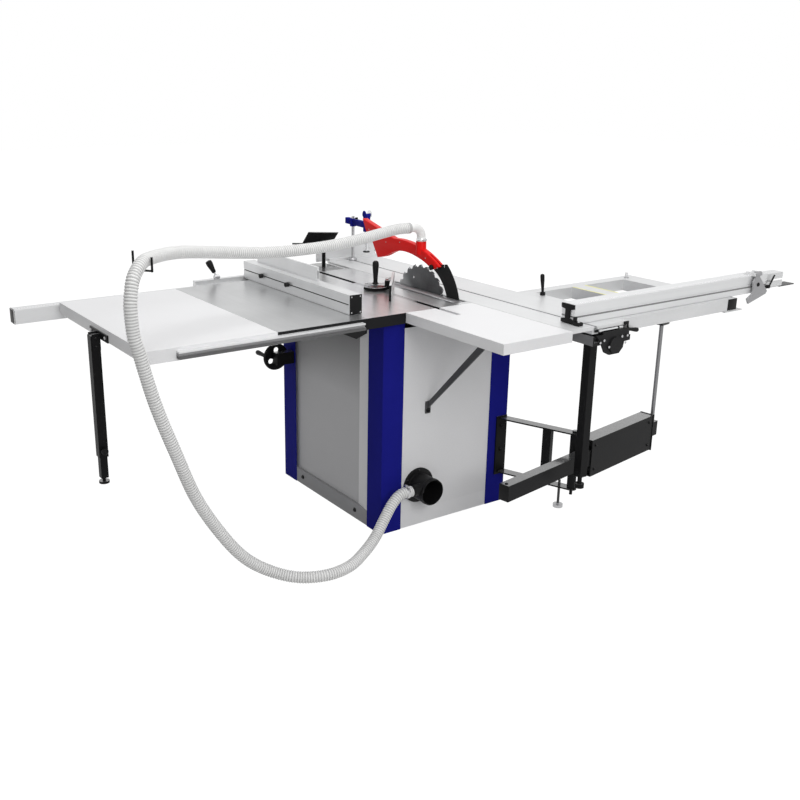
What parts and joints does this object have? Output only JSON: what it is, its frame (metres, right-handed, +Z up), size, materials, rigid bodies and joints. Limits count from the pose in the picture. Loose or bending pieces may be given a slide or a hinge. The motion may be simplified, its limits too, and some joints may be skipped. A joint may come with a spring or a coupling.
{
  "type": "sliding table saw",
  "caption": "Sliding table saw with crosscut frame on a swing arm, tilting blade under a red guard, rip fence, mitre gauge, white dust hose and pull-out support leg.",
  "frame": {"origin": "on the floor under the blade, in line with the middle of the cast table, z = 0 at the base", "axes": "+Z up, +Y the way the work is fed, +X to the operator's right, blade in the plane x = 0"},
  "size_m": [2.73, 1.539, 1.15],
  "materials": {
    "grey_paint": "satin grey paint",
    "blue_paint": "gloss deep blue paint",
    "white_paint": "satin white powder coat",
    "black_steel": "satin black paint",
    "cast_iron": "ground cast iron",
    "aluminium": "clear anodised extrusion",
    "steel": "brushed steel",
    "black_plastic": "moulded black plastic",
    "red_plastic": "moulded red plastic",
    "white_plastic": "flexible white plastic",
    "belt_rubber": "ribbed belt rubber"
  },
  "bodies": {
    "base": {"base_frame": "grey_paint", "corner_posts": "blue_paint", "side_panel": "grey_paint", "cabinet_panels": "grey_paint", "frame_bolts": "black_steel", "main_table": "cast_iron", "table_insert": "steel", "side_wing": "cast_iron", "extension_table": "white_paint", "outfeed_table": "white_paint", "outfeed_brace": "grey_paint", "fence_rails": "aluminium", "slide_beam": "black_steel", "beam_column": "black_steel", "swing_bracket": "black_steel", "tilt_gearbox": "black_steel", "dust_port": "black_plastic", "hose_hook": "black_steel", "dust_hose": "white_plastic", "control_box": "black_plastic", "trunnions": "cast_iron", "extension_leg": "black_steel"},
    "tilt_unit": {"tilt_cradle": "cast_iron"},
    "saw_unit": {"arbor_housing": "cast_iron", "riving_knife": "black_steel", "saw_motor": "black_steel", "drive_belt": "belt_rubber"},
    "guard": {"blade_guard": "red_plastic", "hose_elbow": "white_plastic"},
    "blade": {"saw_blade": "steel", "arbor": "steel"},
    "motor_rotor": {"motor_pulley": "steel"},
    "tilt_wheel": {"tilt_wheel": "black_plastic"},
    "lift_wheel": {"lift_wheel": "black_plastic"},
    "slider": {"sliding_table": "aluminium", "crosscut_frame": "aluminium", "end_fence": "aluminium"},
    "rollers": {"roller_carriage": "steel"},
    "lock_lever": {"table_lock": "black_plastic"},
    "frame_handle": {"frame_lever": "black_plastic"},
    "fence": {"crosscut_fence": "aluminium"},
    "extension": {"fence_extension": "aluminium"},
    "stop": {"flip_stop": "aluminium"},
    "clamp_stand": {"clamp_post": "steel"},
    "clamp_head": {"clamp_arm": "blue_paint"},
    "plunger": {"clamp_plunger": "steel"},
    "arm": {"swing_casing": "black_steel"},
    "arm_tube": {"swing_tube": "black_steel"},
    "arm_rod": {"support_rod": "steel"},
    "rip": {"rip_fence": "aluminium", "rip_carriage": "aluminium"},
    "rip_top": {"rip_plate": "aluminium"},
    "rip_handle": {"rip_lever": "black_plastic"},
    "mitre": {"mitre_bar": "steel"},
    "mitre_turn": {"mitre_head": "black_plastic"},
    "mitre_knob": {"mitre_handle": "black_plastic"},
    "leg": {"leg_slider": "black_steel"},
    "column_screw": {"column_foot": "black_steel"},
    "arm_screw": {"bracket_foot": "steel"},
    "button": {"stop_button": "red_plastic"}
  },
  "joints": [
    {"name": "tilt", "type": "hinge", "parent": "base", "child": "tilt_unit", "pos_m": [0, 0.09, 0.85], "axis": [0, 1, 0], "range_deg": [0, 45], "deforming": ["dust_hose"]},
    {"name": "raise", "type": "slide", "parent": "tilt_unit", "child": "saw_unit", "axis": [0, 0, -1], "range_m": [0, 0.065], "deforming": ["dust_hose"]},
    {"name": "guard_lift", "type": "hinge", "parent": "saw_unit", "child": "guard", "pos_m": [0, 0.19259, 0.94959], "axis": [-1, 0, 0], "range_deg": [0, 10], "deforming": ["dust_hose"]},
    {"name": "blade_spin", "type": "hinge", "parent": "saw_unit", "child": "blade", "pos_m": [0, 0.115, 0.7905], "axis": [1, 0, 0], "continuous": true},
    {"name": "motor_spin", "type": "hinge", "parent": "saw_unit", "child": "motor_rotor", "pos_m": [0.108, 0.115, 0.6005], "axis": [1, 0, 0], "continuous": true},
    {"name": "tilt_crank", "type": "hinge", "parent": "base", "child": "tilt_wheel", "pos_m": [0.412, -0.305, 0.541], "axis": [0, 1, 0], "continuous": true},
    {"name": "lift_crank", "type": "hinge", "parent": "base", "child": "lift_wheel", "pos_m": [0.235, -0.377, 0.56], "axis": [0, 1, 0], "continuous": true},
    {"name": "table_slide", "type": "slide", "parent": "base", "child": "slider", "axis": [0, 1, 0], "range_m": [-0.6, 0.35]},
    {"name": "roller_slide", "type": "slide", "parent": "base", "child": "rollers", "axis": [0, 1, 0], "range_m": [-0.3, 0.175]},
    {"name": "table_lock", "type": "hinge", "parent": "slider", "child": "lock_lever", "pos_m": [-0.2945, 0.881, 0.816], "axis": [0, 1, 0], "range_deg": [-15, 40]},
    {"name": "frame_clamp", "type": "hinge", "parent": "slider", "child": "frame_handle", "pos_m": [-0.3245, 0.442, 0.858], "axis": [0, 0, 1], "range_deg": [-60, 60]},
    {"name": "fence_swing", "type": "hinge", "parent": "slider", "child": "fence", "pos_m": [-0.127, 0.813, 0.851], "axis": [0, 0, 1], "range_deg": [-45, 25]},
    {"name": "fence_extend", "type": "slide", "parent": "fence", "child": "extension", "axis": [-1, 0, 0], "range_m": [-0.1, 0.45]},
    {"name": "stop_flip", "type": "hinge", "parent": "fence", "child": "stop", "pos_m": [-1.043, 0.853, 0.926], "axis": [1, 0, 0], "range_deg": [0, 120]},
    {"name": "clamp_slide", "type": "slide", "parent": "slider", "child": "clamp_stand", "axis": [0, 1, 0], "range_m": [0, 1.1]},
    {"name": "clamp_swing", "type": "hinge", "parent": "clamp_stand", "child": "clamp_head", "pos_m": [-0.127, -0.555, 0.9], "axis": [0, 0, 1], "range_deg": [-76, 94]},
    {"name": "clamp_press", "type": "slide", "parent": "clamp_head", "child": "plunger", "axis": [0, 0, -1], "range_m": [0, 0.05]},
    {"name": "arm_swing", "type": "hinge", "parent": "base", "child": "arm", "pos_m": [-0.335, 0.65, 0.267], "axis": [0, 0, 1], "range_deg": [-25, 15]},
    {"name": "arm_extend", "type": "slide", "parent": "arm", "child": "arm_tube", "axis": [-0.9859, -0.1676, 0], "range_m": [0, 0.3]},
    {"name": "arm_rod_slide", "type": "slide", "parent": "arm_tube", "child": "arm_rod", "axis": [0, 0, -1], "range_m": [0, 0.18]},
    {"name": "rip_slide", "type": "slide", "parent": "base", "child": "rip", "axis": [-1, 0, 0], "range_m": [-0.7, 0.17]},
    {"name": "rip_top_slide", "type": "slide", "parent": "rip", "child": "rip_top", "axis": [0, 1, 0], "range_m": [-0.04, 0.2]},
    {"name": "rip_lever", "type": "hinge", "parent": "rip", "child": "rip_handle", "pos_m": [0.595, -0.454, 0.8663], "axis": [1, 0, 0], "range_deg": [-10, 50]},
    {"name": "mitre_slide", "type": "slide", "parent": "base", "child": "mitre", "axis": [0, 1, 0], "range_m": [-0.25, 0.2]},
    {"name": "mitre_swing", "type": "hinge", "parent": "mitre", "child": "mitre_turn", "pos_m": [0.148, 0.015, 0.86], "axis": [0, 0, 1], "range_deg": [-111, 8]},
    {"name": "mitre_clamp", "type": "hinge", "parent": "mitre_turn", "child": "mitre_knob", "pos_m": [0.148, 0.015, 0.87], "axis": [0, 0, 1], "continuous": true},
    {"name": "leg_extend", "type": "slide", "parent": "base", "child": "leg", "axis": [0, 0, -1], "range_m": [0, 0.298]},
    {"name": "column_foot_turn", "type": "hinge", "parent": "base", "child": "column_screw", "pos_m": [-0.208, 0.805, 0.25], "axis": [0, 0, 1], "continuous": true},
    {"name": "arm_foot_turn", "type": "hinge", "parent": "base", "child": "arm_screw", "pos_m": [-0.3174, 0.60456, 0.1], "axis": [0, 0, 1], "continuous": true},
    {"name": "stop_press", "type": "slide", "parent": "base", "child": "button", "axis": [0, 1, 0], "range_m": [0, 0.006]}
  ],
  "couplings": [
    {"joint": "roller_slide", "follows": "table_slide", "ratio": 0.5},
    {"joint": "motor_spin", "follows": "blade_spin", "ratio": 0.69565},
    {"joint": "tilt_crank", "follows": "tilt", "ratio": 96},
    {"joint": "lift_crank", "follows": "raise", "rad_per_m": 628.32}
  ]
}
